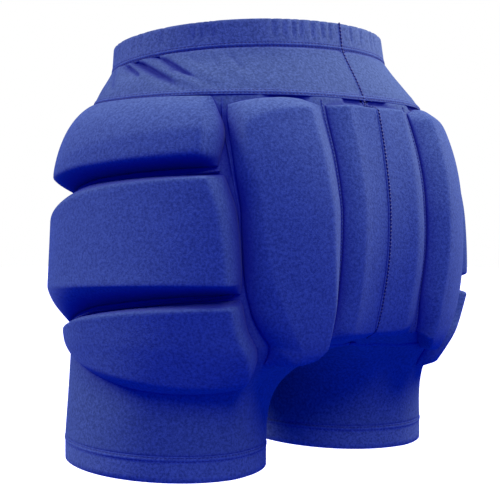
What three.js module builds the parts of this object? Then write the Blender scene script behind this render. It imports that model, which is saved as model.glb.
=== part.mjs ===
// Padded hip-protector shorts, as worn: a stretch shell open at the waist and legs, with foam pads on it.
// Millimetres. +Z is up, +X is the wearer's left and +Y the wearer's back.
// The origin is the middle of the waistband, where the shorts grip the waist.

import * as THREE from 'three';

// Driving dimensions of the shell, in millimetres
const WAIST_WIDTH = 256;
const WAIST_DEPTH = 208;
const HIP_WIDTH = 344;
const HIP_DEPTH = 268;
const WAISTBAND_HEIGHT = 22;
const YOKE_HEIGHT = 34;
const FORK_DROP = 236;
const CROTCH_SAG = 12;
const LEG_LENGTH = 104;
const HEM_HEIGHT = 20;
const LEG_WIDTH = 166;
const LEG_DEPTH = 172;
const LEG_SPACING = 206;
const LEG_SET_BACK = 4;
const HEM_TILT_HEIGHT = 5;
const WAIST_TILT_HEIGHT = 11;
const TILT_FADE = 60;
const CLEFT_WIDTH = 40;
const FABRIC = 2;
const FOLDED_FABRIC = 3;
const SEAM_GAP = 0.3;

// Driving dimensions of the pads, in millimetres
const PAD_SEAT_GAP = 1.0;
const PAD_EDGE = 2;
const PAD_GROOVE = 3;
const HIP_PAD_THICKNESS = 21;
const HIP_PAD_BEVEL = 13;
const SEAT_PAD_THICKNESS = 16;
const SEAT_PAD_BEVEL = 12;
const TAILBONE_PAD_THICKNESS = 10;
const TAILBONE_PAD_BEVEL = 8;

// Shares and powers that shape the shell: how far down the leg it has become an oval, how deep the cleft is
// in front beside behind, how fast the legs part below the fork, and how narrow the stretch is that does so
const LEG_BLEND = 0.85;
const FRONT_CLEFT = 0.3;
const CROTCH_SPREAD = 3;
const CROTCH_FOCUS = 8;

// Mesh fineness: how many steps go round and down each piece of the shell, how far they crowd together at the
// centre lines, in degrees, and below the fork, as a power, and how a normal is measured
const STEPS_HALF_ROUND = 24;
const STEPS_INSIDE_LEG = 10;
const STEPS_HALF_YOKE = 45;
const STEPS_DOWN_WAISTBAND = 1;
const STEPS_DOWN_YOKE = 4;
const STEPS_DOWN_BODY = 10;
const STEPS_DOWN_LEG = 7;
const STEPS_DOWN_HEM = 1;
const CENTRE_CROWDING = 10;
const FORK_CROWDING = 1.5;
const NORMAL_STEP = 0.5;

// Heights that follow from the driving dimensions. A drop is measured down from the origin.
const WAISTBAND_TOP = -WAISTBAND_HEIGHT / 2;
const WAISTBAND_BOTTOM = WAISTBAND_HEIGHT / 2;
const YOKE_BOTTOM = WAISTBAND_BOTTOM + YOKE_HEIGHT;
const HEM_BOTTOM = FORK_DROP + LEG_LENGTH;
const HEM_TOP = HEM_BOTTOM - HEM_HEIGHT;

// Trunk sections from the waist down. fall is a share of FORK_DROP. swell is how far the section has gone
// from the waist's size to the hips'. width, back and front are shares of that size, back and front each of
// half the depth. round is the power of the oval, and cleft a share of HIP_DEPTH.
const TRUNK_SECTIONS = [
  { fall: -0.05, swell: 0.00, width: 1.000, back: 1.000, front: 1.000, round: 2.1, cleft: 0.000 },
  { fall: 0.05, swell: 0.08, width: 1.000, back: 1.010, front: 0.960, round: 2.1, cleft: 0.000 },
  { fall: 0.12, swell: 0.38, width: 1.000, back: 1.045, front: 0.820, round: 2.2, cleft: 0.004 },
  { fall: 0.19, swell: 0.64, width: 0.990, back: 1.085, front: 0.705, round: 2.4, cleft: 0.010 },
  { fall: 0.27, swell: 0.82, width: 1.000, back: 1.100, front: 0.720, round: 2.4, cleft: 0.020 },
  { fall: 0.39, swell: 0.95, width: 0.990, back: 1.145, front: 0.720, round: 2.5, cleft: 0.038 },
  { fall: 0.56, swell: 1.00, width: 0.985, back: 1.185, front: 0.715, round: 2.5, cleft: 0.046 },
  { fall: 0.73, swell: 1.00, width: 0.995, back: 1.180, front: 0.715, round: 2.5, cleft: 0.048 },
  { fall: 0.87, swell: 1.00, width: 1.010, back: 1.140, front: 0.710, round: 2.5, cleft: 0.052 },
  { fall: 1.00, swell: 1.00, width: 1.030, back: 1.080, front: 0.700, round: 2.5, cleft: 0.056 },
  { fall: 1.20, swell: 1.00, width: 1.045, back: 0.900, front: 0.670, round: 2.5, cleft: 0.060 },
  { fall: 1.45, swell: 1.00, width: 1.050, back: 0.720, front: 0.640, round: 2.4, cleft: 0.060 },
];

// How far the yoke's drag folds lean back on their way down it at the side, in degrees
const FOLD_LEAN = 36;

// Drag folds in the yoke, where the cloth is pulled down and back from the waistband over the hip. Each is a
// ridge, or with a rise below 0 a dent, along a line that starts at the waistband at the given turn. turn and
// halfWidth are in degrees. start, end and rise are shares of YOKE_HEIGHT.
const YOKE_FOLDS = [
  { turn: 104, start: -0.3, end: 0.55, halfWidth: 3.5, rise: 0.030 },
  { turn: 100, start: -0.1, end: 0.55, halfWidth: 2.5, rise: -0.090 },
  { turn: 96, start: -0.3, end: 0.80, halfWidth: 3.0, rise: 0.045 },
  { turn: 92, start: -0.2, end: 1.00, halfWidth: 3.0, rise: -0.120 },
  { turn: 86, start: -0.3, end: 1.05, halfWidth: 3.5, rise: 0.045 },
  { turn: 80, start: -0.3, end: 0.85, halfWidth: 2.5, rise: -0.080 },
  { turn: 74, start: -0.2, end: 0.90, halfWidth: 4.0, rise: 0.020 },
  { turn: 64, start: -0.1, end: 0.70, halfWidth: 3.0, rise: -0.025 },
  { turn: 48, start: 0.0, end: 0.80, halfWidth: 3.0, rise: -0.020 },
];

// Lines across the pads, from the top down. The turns of the pad's back and front edge are in degrees from
// the centre back. The falls say how far down from the yoke seam to the fork the line lies, at the back edge,
// in the middle and at the front edge.
const HIP_PAD_LINES = [
  { backTurn: 50, frontTurn: 131, backFall: 0.00, middleFall: 0.00, frontFall: 0.01 },
  { backTurn: 48, frontTurn: 144, backFall: 0.311, middleFall: 0.346, frontFall: 0.450 },
  { backTurn: 44, frontTurn: 137, backFall: 0.805, middleFall: 0.870, frontFall: 1.015 },
  { backTurn: 41, frontTurn: 127, backFall: 0.985, middleFall: 1.030, frontFall: 1.030 },
  { backTurn: 25, frontTurn: 112, backFall: 1.190, middleFall: 1.190, frontFall: 1.045 },
];
const SEAT_PAD_LINES = [
  { backTurn: 19.5, frontTurn: 48.2, backFall: 0.02, middleFall: 0.01, frontFall: 0.02 },
  { backTurn: 17.5, frontTurn: 45.8, backFall: 0.55, middleFall: 0.55, frontFall: 0.55 },
  { backTurn: 17.5, frontTurn: 42.5, backFall: 0.86, middleFall: 0.87, frontFall: 0.88 },
  { backTurn: 19.5, frontTurn: 31, backFall: 1.06, middleFall: 1.11, frontFall: 1.115 },
];
const TAILBONE_PAD_LINES = [
  { backTurn: 0.4, frontTurn: 8.7, backFall: 0.02, middleFall: 0.02, frontFall: 0.025 },
  { backTurn: 0.4, frontTurn: 11.0, backFall: 0.50, middleFall: 0.50, frontFall: 0.50 },
  { backTurn: 0.4, frontTurn: 8.0, backFall: 1.02, middleFall: 1.02, frontFall: 1.01 },
];

// The pads of one side. from and to are numbers of lines. thick is a share of the pad's thickness, and
// backRise to bottomRise say over how many bevels it rises from each edge, widen how many times wider the
// front bevel gets on its way down. dome is how rounded the rise is, and corner how rounded the outline's
// corners are. columns and rows are the mesh steps between the bevels.
const HIP_PADS = [
  {
    name: 'hip_pad_upper', from: 0, to: 1, thick: 0.95, corner: 0.22, dome: 0.4, columns: 10, rows: 3,
    backRise: 0.7, frontRise: 3.0, topRise: 5.0, bottomRise: 0.8, widen: 1.0,
  },
  {
    name: 'hip_pad_middle', from: 1, to: 2, thick: 1.00, corner: 0.14, dome: 0.4, columns: 10, rows: 3,
    backRise: 0.7, frontRise: 3.0, topRise: 1.0, bottomRise: 1.1, widen: 1.0,
  },
  {
    name: 'hip_pad_lower', from: 2, to: 4, thick: 0.85, corner: 0.10, dome: 0.2, columns: 10, rows: 3,
    backRise: 0.7, frontRise: 9.0, topRise: 0.9, bottomRise: 4.0, widen: 1.0,
  },
];
const SEAT_PAD = {
  name: 'seat_pad', from: 0, to: 3, thick: 1.00, corner: 0.30, dome: 0.4, columns: 4, rows: 13,
  backRise: 1.4, frontRise: 0.9, topRise: 0.7, bottomRise: 1.6, widen: 3.2,
};
const TAILBONE_PAD = {
  name: 'tailbone_pad', from: 0, to: 2, thick: 1.00, corner: 0.20, dome: 0.4, columns: 2, rows: 9,
  backRise: 3.2, frontRise: 1.0, topRise: 1.0, bottomRise: 2.0, widen: 1.0,
};

const FABRIC_MATERIAL = new THREE.MeshStandardMaterial({ color: '#2a3a90', roughness: 0.85, metalness: 0 });
const BAND_MATERIAL = new THREE.MeshStandardMaterial({ color: '#26348a', roughness: 0.88, metalness: 0 });
const PAD_MATERIAL = new THREE.MeshStandardMaterial({ color: '#2f4096', roughness: 0.82, metalness: 0 });

function mix(a, b, share) {
  return a + (b - a) * share;
}

function smooth(share) {
  const s = Math.min(1, Math.max(0, share));
  return s * s * (3 - 2 * s);
}

function steps(from, to, count) {
  return Array.from({ length: count + 1 }, (_, k) => mix(from, to, k / count));
}

// A value between four neighbours on a smooth curve that passes through the middle two
function throughFour(a, b, c, d, share) {
  const slopeStart = (c - a) / 2;
  const slopeEnd = (d - b) / 2;
  const s2 = share * share;
  const s3 = s2 * share;
  return (2 * s3 - 3 * s2 + 1) * b + (s3 - 2 * s2 + share) * slopeStart
    + (3 * s2 - 2 * s3) * c + (s3 - s2) * slopeEnd;
}

// A parabola through three values, at the start, the middle and the end of an edge
function throughThree(start, middle, end, share) {
  const rest = 1 - share;
  return start * rest * (rest - share) + middle * 4 * share * rest + end * share * (share - rest);
}

// Every column of a table read smoothly at a place between its rows, counted in rows from its first
function readTable(table, place) {
  const last = table.length - 1;
  const row = Math.min(last - 1, Math.max(0, Math.floor(place)));
  const share = Math.min(1, Math.max(0, place - row));
  const rows = [Math.max(0, row - 1), row, row + 1, Math.min(last, row + 2)].map((r) => table[r]);
  const columns = Object.keys(table[0]);
  return Object.fromEntries(columns.map((key) => [key, throughFour(...rows.map((r) => r[key]), share)]));
}

// The place in the table of trunk sections, in rows, of a drop below the origin
function trunkPlace(drop) {
  const fall = drop / FORK_DROP;
  let row = 0;
  while (row < TRUNK_SECTIONS.length - 2 && fall > TRUNK_SECTIONS[row + 1].fall) row += 1;
  return row + (fall - TRUNK_SECTIONS[row].fall) / (TRUNK_SECTIONS[row + 1].fall - TRUNK_SECTIONS[row].fall);
}

// A point of the trunk. turn is in degrees: 0 at the centre back, 90 at the side and 180 at the centre front.
function trunkPoint(turn, drop) {
  const section = readTable(TRUNK_SECTIONS, trunkPlace(drop));
  const halfWidth = section.width * mix(WAIST_WIDTH, HIP_WIDTH, section.swell) / 2;
  const halfDepth = mix(WAIST_DEPTH, HIP_DEPTH, section.swell) / 2;
  const angle = THREE.MathUtils.degToRad(turn);
  const sine = Math.max(0, Math.sin(angle));
  const cosine = Math.abs(Math.cos(angle));
  const stretch = (sine ** section.round + cosine ** section.round) ** (-1 / section.round);
  const behind = turn <= 90;
  const reach = halfDepth * (behind ? section.back : section.front);
  const cleft = section.cleft * HIP_DEPTH * (behind ? 1 : FRONT_CLEFT);
  const x = halfWidth * stretch * sine;
  const depth = reach * stretch * cosine - cleft * Math.exp(-((x / CLEFT_WIDTH) ** 2));
  const y = behind ? depth : -depth;
  const tilt = WAIST_TILT_HEIGHT * (2 * y / WAIST_DEPTH) * (1 - smooth(drop / TILT_FADE));
  return new THREE.Vector3(x, y, tilt - drop);
}

// A point of the leg's oval. From 180 to 360 degrees the turn runs back along the inside of the leg.
function legPoint(turn, drop) {
  const angle = THREE.MathUtils.degToRad(90 - turn);
  return new THREE.Vector3(
    LEG_SPACING / 2 + LEG_WIDTH / 2 * Math.cos(angle),
    LEG_SET_BACK + LEG_DEPTH / 2 * Math.sin(angle),
    -drop - HEM_TILT_HEIGHT * Math.sin(angle) * (drop - FORK_DROP) / LEG_LENGTH,
  );
}

// The line under the crotch, from the front of the fork at 180 degrees to its back at 360
function crotchPoint(turn, drop) {
  const front = trunkPoint(180, drop).y;
  const back = trunkPoint(0, drop).y;
  const along = THREE.MathUtils.degToRad(turn - 180);
  return new THREE.Vector3(0, mix(front, back, (1 - Math.cos(along)) / 2), -drop);
}

// A point of the left half of the shell, with the trunk flowing into the leg below the fork
function shellPoint(turn, drop) {
  const angle = THREE.MathUtils.degToRad(turn);
  const inside = turn > 180 ? -Math.sin(angle) : 0;
  const inner = turn > 180 ? 1 : Math.cos(angle) ** CROTCH_FOCUS;
  const start = turn > 180 ? crotchPoint(turn, drop) : trunkPoint(turn, drop);
  const down = Math.max(0, (drop - FORK_DROP) / LEG_LENGTH);
  const spread = Math.min(1, down / LEG_BLEND);
  const toLeg = mix(smooth(spread), 1 - (1 - spread) ** CROTCH_SPREAD, inner);
  const point = start.lerp(legPoint(turn, drop), toLeg);
  point.z -= CROTCH_SAG * inside * (1 - down) ** 3;
  return point;
}

// The direction straight out of the shell, from two short steps along it. On the centre line it has no x.
function shellNormal(turn, drop) {
  const closed = drop > FORK_DROP;
  const lowest = turn > 180 ? 180 : 0;
  const highest = turn > 180 ? 360 : 180;
  const before = closed ? (turn - NORMAL_STEP + 360) % 360 : Math.max(lowest, turn - NORMAL_STEP);
  const after = closed ? (turn + NORMAL_STEP) % 360 : Math.min(highest, turn + NORMAL_STEP);
  const above = turn > 180 ? Math.max(FORK_DROP, drop - NORMAL_STEP) : drop - NORMAL_STEP;
  const round = shellPoint(after, drop).sub(shellPoint(before, drop));
  const down = shellPoint(turn, drop + NORMAL_STEP).sub(shellPoint(turn, above));
  const normal = round.cross(down);
  if (shellPoint(turn, drop).x < SEAM_GAP) normal.x = 0;
  return normal.normalize();
}

// A sheet holds places on the shell, each with a point outside and one inside, and the quads that join them.
function newSheet() {
  return { outside: [], inside: [], quads: [] };
}

// Adds one place and gives back its number. Heights are measured out of the shell.
function addPlace(sheet, turn, drop, outerHeight, innerHeight) {
  const normal = shellNormal(turn, drop);
  const outer = shellPoint(turn, drop).addScaledVector(normal, outerHeight);
  const inner = shellPoint(turn, drop).addScaledVector(normal, innerHeight);
  for (const point of [outer, inner]) point.x = Math.max(point.x, SEAM_GAP / 2);
  sheet.outside.push(outer);
  sheet.inside.push(inner);
  return sheet.outside.length - 1;
}

// Joins rows of places, from the top row down, with quads that face outwards.
function joinRows(sheet, rows) {
  for (let r = 0; r + 1 < rows.length; r += 1) {
    for (let c = 0; c + 1 < rows[r].length; c += 1) {
      sheet.quads.push([rows[r][c], rows[r][c + 1], rows[r + 1][c + 1], rows[r + 1][c]]);
    }
  }
}

// The two triangles of a quad, cut along its shorter diagonal
function cutQuad(points, [a, b, c, d]) {
  const alongAC = points[a].distanceTo(points[c]) <= points[b].distanceTo(points[d]);
  return alongAC ? [[a, b, c], [a, c, d]] : [[a, b, d], [b, c, d]];
}

// One closed body between a sheet's outside and its inside, with walls along its open edges
function closeSheet(sheet, onRight) {
  const count = sheet.outside.length;
  const triangles = [];
  const edges = new Set();
  for (const quad of sheet.quads) {
    for (const [a, b, c] of cutQuad(sheet.outside, quad)) {
      triangles.push([a, b, c], [a + count, c + count, b + count]);
    }
    quad.forEach((corner, k) => edges.add(`${corner},${quad[(k + 1) % 4]}`));
  }
  for (const edge of edges) {
    const [a, b] = edge.split(',').map(Number);
    if (!edges.has(`${b},${a}`)) triangles.push([b, a, a + count], [b, a + count, b + count]);
  }
  const side = onRight ? -1 : 1;
  const positions = [...sheet.outside, ...sheet.inside].flatMap((p) => [side * p.x, p.y, p.z]);
  const geometry = new THREE.BufferGeometry();
  geometry.setAttribute('position', new THREE.Float32BufferAttribute(positions, 3));
  geometry.setIndex(triangles.flatMap(([a, b, c]) => (onRight ? [a, c, b] : [a, b, c])));
  geometry.computeVertexNormals();
  return geometry;
}

// Turns from the centre back round the outside to the centre front, closest together at the centre back and
// front, and on round the inside of the leg
const OUTSIDE_TURNS = steps(0, 180, STEPS_HALF_ROUND)
  .map((turn) => turn - CENTRE_CROWDING * Math.sin(THREE.MathUtils.degToRad(2 * turn)));
const INSIDE_TURNS = steps(180, 360, STEPS_INSIDE_LEG).slice(1, -1);

// The waistband: one ring all round, folded double
function waistbandGeometry() {
  const sheet = newSheet();
  const rows = steps(WAISTBAND_TOP, WAISTBAND_BOTTOM, STEPS_DOWN_WAISTBAND).map((drop) => {
    const left = OUTSIDE_TURNS.map((turn) => addPlace(sheet, turn, drop, 0, -FOLDED_FABRIC));
    const right = left.slice(1, -1).reverse().map((number) => {
      for (const points of [sheet.outside, sheet.inside]) {
        points.push(points[number].clone().multiply(new THREE.Vector3(-1, 1, 1)));
      }
      return sheet.outside.length - 1;
    });
    for (const number of [left[0], left.at(-1)]) {
      sheet.outside[number].x = 0;
      sheet.inside[number].x = 0;
    }
    return [...left, ...right, left[0]];
  });
  joinRows(sheet, rows);
  return closeSheet(sheet, false);
}

// How far the yoke's cloth stands out on the line that starts at a turn, at a share of the way down the yoke
function foldHeight(turn, down) {
  return YOKE_FOLDS.reduce((height, fold) => {
    const along = (down - fold.start) / (fold.end - fold.start);
    const fade = along > 0 && along < 1 ? Math.sin(Math.PI * along) : 0;
    const aside = (turn - fold.turn) / fold.halfWidth;
    return height + fold.rise * YOKE_HEIGHT * fade * Math.exp(-(aside ** 2));
  }, 0);
}

// One half of the yoke, from the centre back to the centre front. Its mesh lines lean back as the folds do.
function yokeSheet() {
  const sheet = newSheet();
  const rows = steps(0, 1, STEPS_DOWN_YOKE).map((down) => steps(0, 180, STEPS_HALF_YOKE).map((turn) => {
    const leaning = turn - FOLD_LEAN * down * Math.sin(THREE.MathUtils.degToRad(turn)) ** 3;
    const drop = mix(WAISTBAND_BOTTOM + SEAM_GAP, YOKE_BOTTOM, down);
    const height = foldHeight(turn, down);
    return addPlace(sheet, leaning, drop, height, height - FABRIC);
  }));
  joinRows(sheet, rows);
  return sheet;
}

// One half of the body from the yoke seam down, forked into a leg that ends at the hem
function bodySheet() {
  const sheet = newSheet();
  const row = (turns, drop) => turns.map((turn) => addPlace(sheet, turn, drop, 0, -FABRIC));
  const trunk = steps(YOKE_BOTTOM + SEAM_GAP, FORK_DROP, STEPS_DOWN_BODY)
    .map((drop) => row(OUTSIDE_TURNS, drop));
  const fork = [...trunk.at(-1), ...row(INSIDE_TURNS, FORK_DROP)];
  const leg = steps(0, 1, STEPS_DOWN_LEG).slice(1)
    .map((share) => mix(FORK_DROP, HEM_TOP - SEAM_GAP, share ** FORK_CROWDING))
    .map((drop) => row([...OUTSIDE_TURNS, ...INSIDE_TURNS], drop));
  joinRows(sheet, trunk);
  joinRows(sheet, [fork, ...leg].map((numbers) => [...numbers, numbers[0]]));
  return sheet;
}

// The hem of one leg: a ring folded double
function hemSheet() {
  const sheet = newSheet();
  const rows = steps(HEM_TOP, HEM_BOTTOM, STEPS_DOWN_HEM).map((drop) => {
    const numbers = [...OUTSIDE_TURNS, ...INSIDE_TURNS]
      .map((turn) => addPlace(sheet, turn, drop, 0, -FOLDED_FABRIC));
    return [...numbers, numbers[0]];
  });
  joinRows(sheet, rows);
  return sheet;
}

// A pad's place on the shell, at shares across and down its outline, with the outline's corners rounded off
function padPlace(pad, lines, across, down) {
  const u = 2 * across - 1;
  const v = 2 * down - 1;
  const p = (u * Math.sqrt(1 - pad.corner * v * v / 2) + 1) / 2;
  const q = (v * Math.sqrt(1 - pad.corner * u * u / 2) + 1) / 2;
  const line = readTable(lines, mix(pad.from, pad.to, q));
  const fall = throughThree(line.backFall, line.middleFall, line.frontFall, p);
  const drop = mix(YOKE_BOTTOM, FORK_DROP, fall) + PAD_GROOVE * (0.5 - q);
  return { turn: mix(line.backTurn, line.frontTurn, p), drop };
}

// Shares of a length where a pad's mesh lines run: on each bevel, at its shoulder, and evenly between
function padMeshLines(startBevel, endBevel, between) {
  const inner = steps(startBevel, 1 - endBevel, between);
  return [0, startBevel / 2, ...inner, 1 - endBevel / 2, 1];
}

// How far a pad has risen at a distance from its edge, from 0 to 1: a bevel, more or less rounded
function rise(distance, reach, dome) {
  const share = Math.min(1, distance / reach);
  return mix(share, Math.sin(Math.PI / 2 * share), dome);
}

// A pad on the shell, rising over its bevels from a thin edge to its full thickness
function padSheet(pad, lines, thickness, bevel) {
  const [backMiddle, frontMiddle] = [0, 1].map((across) => padPlace(pad, lines, across, 0.5));
  const middleTurns = steps(backMiddle.turn, frontMiddle.turn, pad.columns);
  const middle = middleTurns.map((turn) => shellPoint(turn, (backMiddle.drop + frontMiddle.drop) / 2));
  const width = middle.slice(1).reduce((sum, point, k) => sum + point.distanceTo(middle[k]), 0);
  const height = padPlace(pad, lines, 0.5, 1).drop - padPlace(pad, lines, 0.5, 0).drop;
  const downLines = padMeshLines(bevel * Math.min(pad.topRise, 1) / height,
    bevel * Math.min(pad.bottomRise, 1) / height, pad.rows);
  const sheet = newSheet();
  joinRows(sheet, downLines.map((down) => {
    const widened = mix(1, pad.widen, down);
    const acrossLines = padMeshLines(bevel * Math.min(pad.backRise, 1) / width,
      bevel * Math.min(pad.frontRise, 1) * widened / width, pad.columns);
    return acrossLines.map((across) => {
      const { turn, drop } = padPlace(pad, lines, across, down);
      const risen = rise(across * width, bevel * pad.backRise, pad.dome)
        * rise((1 - across) * width, bevel * pad.frontRise * widened, pad.dome)
        * rise(down * height, bevel * pad.topRise, pad.dome)
        * rise((1 - down) * height, bevel * pad.bottomRise, pad.dome);
      const lift = mix(PAD_EDGE, thickness * pad.thick, risen);
      return addPlace(sheet, turn, drop, PAD_SEAT_GAP + lift, PAD_SEAT_GAP);
    });
  }));
  return sheet;
}

const shorts = new THREE.Group();

function addPiece(name, geometry, material) {
  const mesh = new THREE.Mesh(geometry, material);
  mesh.name = name;
  shorts.add(mesh);
}

// Adds a piece of the left side, and its mirror image on the right.
function addPair(name, sheet, material) {
  addPiece(`${name}_left`, closeSheet(sheet, false), material);
  addPiece(`${name}_right`, closeSheet(sheet, true), material);
}

addPiece('waistband', waistbandGeometry(), BAND_MATERIAL);
addPair('yoke', yokeSheet(), FABRIC_MATERIAL);
addPair('body', bodySheet(), FABRIC_MATERIAL);
addPair('hem', hemSheet(), BAND_MATERIAL);
for (const pad of HIP_PADS) {
  addPair(pad.name, padSheet(pad, HIP_PAD_LINES, HIP_PAD_THICKNESS, HIP_PAD_BEVEL), PAD_MATERIAL);
}
addPair(SEAT_PAD.name, padSheet(SEAT_PAD, SEAT_PAD_LINES, SEAT_PAD_THICKNESS, SEAT_PAD_BEVEL), PAD_MATERIAL);
addPair(TAILBONE_PAD.name,
  padSheet(TAILBONE_PAD, TAILBONE_PAD_LINES, TAILBONE_PAD_THICKNESS, TAILBONE_PAD_BEVEL), PAD_MATERIAL);

export default shorts;
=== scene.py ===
# Padded hip protector shorts, as worn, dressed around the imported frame.
# Metres. +Z is up, +X is the wearer's left and +Y the wearer's back.
import math

import bmesh
import bpy
from mathutils import Matrix, Vector
from mathutils.bvhtree import BVHTree
from mathutils.kdtree import KDTree


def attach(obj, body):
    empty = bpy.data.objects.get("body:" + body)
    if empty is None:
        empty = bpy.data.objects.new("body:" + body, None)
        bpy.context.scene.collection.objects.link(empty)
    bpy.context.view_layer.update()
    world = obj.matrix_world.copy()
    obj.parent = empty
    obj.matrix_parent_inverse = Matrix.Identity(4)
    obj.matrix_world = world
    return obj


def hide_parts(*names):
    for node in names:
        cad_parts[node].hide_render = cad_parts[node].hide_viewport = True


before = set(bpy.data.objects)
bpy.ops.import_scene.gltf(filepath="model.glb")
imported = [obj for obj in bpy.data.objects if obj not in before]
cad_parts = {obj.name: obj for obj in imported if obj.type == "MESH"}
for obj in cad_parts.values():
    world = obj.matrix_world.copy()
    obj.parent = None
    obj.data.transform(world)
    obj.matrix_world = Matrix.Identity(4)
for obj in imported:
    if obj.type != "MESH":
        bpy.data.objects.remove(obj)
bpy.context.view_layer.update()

MM = 0.001
SIDES = {"left": 1, "right": -1}
# Points closer than this are one point
WELD = 0.01 * MM

# Places on the shell are a turn and a drop. The turn is 0 degrees at the centre back, 90 at the side and
# 180 at the centre front, and the drop is how many mm below the waist it lies.

# The drop where the trunk forks, how long the legs are below it, over what share of that the trunk's shape
# turns into the legs', and how much lower the hems lie behind
FORK = 236.0
LEG_LENGTH = 104.0
LEG_BLEND = 0.85
HEM_TILT = 5.0
# How much higher the waist lies behind, over what reach, and the drop at which that has faded away
WAIST_TILT = 11.0
WAIST_REACH = 104.0
TILT_FADE = 60.0

# At some drops: half the shell's width, and how far it reaches back and forward, in mm
SHELL_REACHES = (
    (-12, 128, 104, 104),
    (12, 132, 108, 102),
    (28, 145, 121, 95),
    (45, 155, 134, 87),
    (64, 164, 142, 93),
    (92, 168, 152, 95),
    (132, 169, 159, 96),
    (205, 174, 153, 95),
    (236, 177, 145, 94),
    (283, 180, 120, 90),
)
# The middle of a leg, aside and back, and half its width and depth, in mm
LEG_CENTRE = (103.0, 4.0)
LEG_REACHES = (83.0, 86.0)

# Colours and nodes

def hex_colour(code):
    """An sRGB hex value as the linear colour that the shaders take"""
    parts = [int(code[k:k + 2], 16) / 255 for k in (1, 3, 5)]
    return tuple(p / 12.92 if p <= 0.04045 else ((p + 0.055) / 1.055) ** 2.4 for p in parts) + (1.0,)


def add_node(tree, kind, settings=None, values=None, links=None):
    """One node with its settings, its sockets' own values and the outputs that feed it"""
    node = tree.nodes.new(kind)
    for name, value in (settings or {}).items():
        setattr(node, name, value)
    for name, value in (values or {}).items():
        node.inputs[name].default_value = value
    for name, output in (links or {}).items():
        tree.links.new(output, node.inputs[name])
    return node


# The dark blue painted into the knit's colour as shade in seams and hollows
PAINTED_SHADE_BLUE = "#010568"
# How wide the pile's sheen spreads, and its tint, and how little the knit mirrors
PILE_SHEEN_SPREAD = 0.8
PILE_SHEEN_TINT = "#dcead0"
PILE_SHINE = 0.06
# How fine the knots of brushed pile, the worn patches and the loops of the knit are, as waves in a metre
PILE_WAVES = 480.0
PATCH_WAVES = 30.0
LOOP_WAVES = 1100.0
# How far round a place surfaces are felt for the painted shade in hollows, and how open a place is where that
# painted shade is darkest and where there is none
PAINTED_SHADE_REACH = 22 * MM
PAINTED_SHADE_DARKEST = 0.6
PAINTED_SHADE_NONE = 0.92


def knit_cloth(name, deep, worn, roughness, sheen, bump_height):
    """Warp-knit polyester and elastane, brushed: soft, nearly matt, with a faint haze at its rims, and with
    shade painted into its colour in seams and hollows
    """
    material = bpy.data.materials.new(name)
    material.use_nodes = True
    tree = material.node_tree
    tree.nodes.clear()
    place = add_node(tree, "ShaderNodeTexCoord").outputs["Object"]
    # Knots of brushed pile, 2 to 3 mm across, worn patches 30 mm across, and the loops of the knit, drawn
    # 0.9 mm wide so that they show
    pile = add_node(tree, "ShaderNodeTexNoise",
                    values={"Scale": PILE_WAVES, "Detail": 3.0, "Roughness": 0.65}, links={"Vector": place})
    blotch = add_node(tree, "ShaderNodeTexNoise", values={"Scale": PATCH_WAVES, "Detail": 2.0},
                      links={"Vector": place})
    loops = add_node(tree, "ShaderNodeTexNoise", values={"Scale": LOOP_WAVES, "Detail": 2.0},
                     links={"Vector": place})
    spread = add_node(tree, "ShaderNodeMapRange", values={"From Min": 0.35, "From Max": 0.65},
                      links={"Value": pile.outputs["Fac"]})
    mottle = add_node(tree, "ShaderNodeMix", {"data_type": "FLOAT"}, {"Factor": 0.2},
                      {"A": spread.outputs["Result"], "B": blotch.outputs["Fac"]})
    shade = add_node(tree, "ShaderNodeMix", {"data_type": "RGBA"})
    shade.inputs[6].default_value = hex_colour(deep)
    shade.inputs[7].default_value = hex_colour(worn)
    tree.links.new(mottle.outputs[0], shade.inputs[0])
    # Painted shade: the colour is darkened towards the dark blue where ambient occlusion finds seams and
    # hollows
    shade_occlusion = add_node(tree, "ShaderNodeAmbientOcclusion", {"samples": 6}, {"Distance": PAINTED_SHADE_REACH})
    unshaded_share = add_node(tree, "ShaderNodeMapRange", values={"From Min": PAINTED_SHADE_DARKEST, "From Max": PAINTED_SHADE_NONE},
                      links={"Value": shade_occlusion.outputs["AO"]})
    painted_shade = add_node(tree, "ShaderNodeMix", {"data_type": "RGBA"})
    painted_shade.inputs[6].default_value = hex_colour(PAINTED_SHADE_BLUE)
    tree.links.new(unshaded_share.outputs["Result"], painted_shade.inputs[0])
    tree.links.new(shade.outputs[2], painted_shade.inputs[7])
    nap = add_node(tree, "ShaderNodeMath", {"operation": "ADD"})
    tree.links.new(pile.outputs["Fac"], nap.inputs[0])
    tree.links.new(loops.outputs["Fac"], nap.inputs[1])
    bump = add_node(tree, "ShaderNodeBump", values={"Strength": 0.8, "Distance": bump_height},
                    links={"Height": nap.outputs[0]})
    cloth = add_node(tree, "ShaderNodeBsdfPrincipled",
                     values={"Roughness": roughness, "Sheen Weight": sheen,
                             "Sheen Roughness": PILE_SHEEN_SPREAD,
                             "Sheen Tint": hex_colour(PILE_SHEEN_TINT),
                             "IOR": 1.5, "Specular IOR Level": PILE_SHINE},
                     links={"Base Color": painted_shade.outputs[2], "Normal": bump.outputs["Normal"]})
    add_node(tree, "ShaderNodeOutputMaterial", links={"Surface": cloth.outputs["BSDF"]})
    return material


def spun_thread(name, colour):
    """Spun polyester sewing thread: a shade deeper than the cloth, with a dull gloss"""
    material = bpy.data.materials.new(name)
    material.use_nodes = True
    tree = material.node_tree
    cloth = tree.nodes["Principled BSDF"]
    cloth.inputs["Base Color"].default_value = hex_colour(colour)
    cloth.inputs["Roughness"].default_value = 0.6
    # The twist of the plies, 0.5 mm apart
    twist = add_node(tree, "ShaderNodeTexNoise", values={"Scale": 2000.0},
                     links={"Vector": add_node(tree, "ShaderNodeTexCoord").outputs["Object"]})
    bump = add_node(tree, "ShaderNodeBump", values={"Strength": 0.4, "Distance": 0.1 * MM},
                    links={"Height": twist.outputs["Fac"]})
    tree.links.new(bump.outputs["Normal"], cloth.inputs["Normal"])
    return material


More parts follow.
